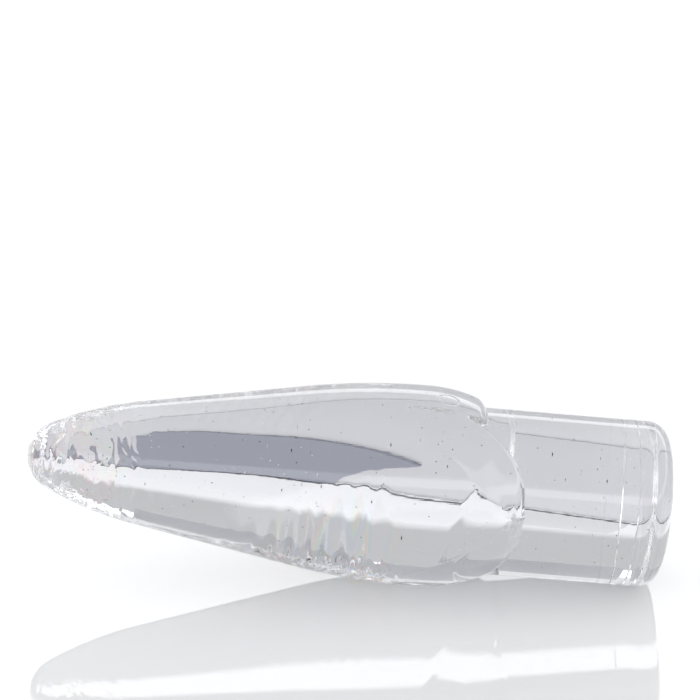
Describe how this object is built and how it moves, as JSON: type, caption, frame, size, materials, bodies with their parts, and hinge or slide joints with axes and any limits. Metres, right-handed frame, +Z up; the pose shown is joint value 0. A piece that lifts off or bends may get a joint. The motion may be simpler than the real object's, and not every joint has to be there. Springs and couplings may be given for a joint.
{
  "type": "guitar slide",
  "caption": "Clear solid guitar slide: bullet nose with a scalloped rear edge, a straight grip rod and a round-edged end cap",
  "frame": {"origin": "centre of the bounding box's base, on the surface the slide lies on", "axes": "+Z up; +X from the round nose towards the capped grip end; the slide's own axis is tipped 4.58 degrees about Y, nose up, because the slide lies on its belly and on its cap; +Y completes a right-handed frame"},
  "size_m": [0.0806, 0.0254, 0.0257],
  "materials": {
    "nose_plastic": "water-clear moulded acrylic, polished",
    "rod_plastic": "water-clear acrylic rod, fine lengthwise scratches",
    "cap_plastic": "water-clear acrylic, polished rounded edge"
  },
  "bodies": {
    "root": {"nose_body": "nose_plastic", "grip_rod": "rod_plastic", "end_cap": "cap_plastic"}
  },
  "joints": []
}
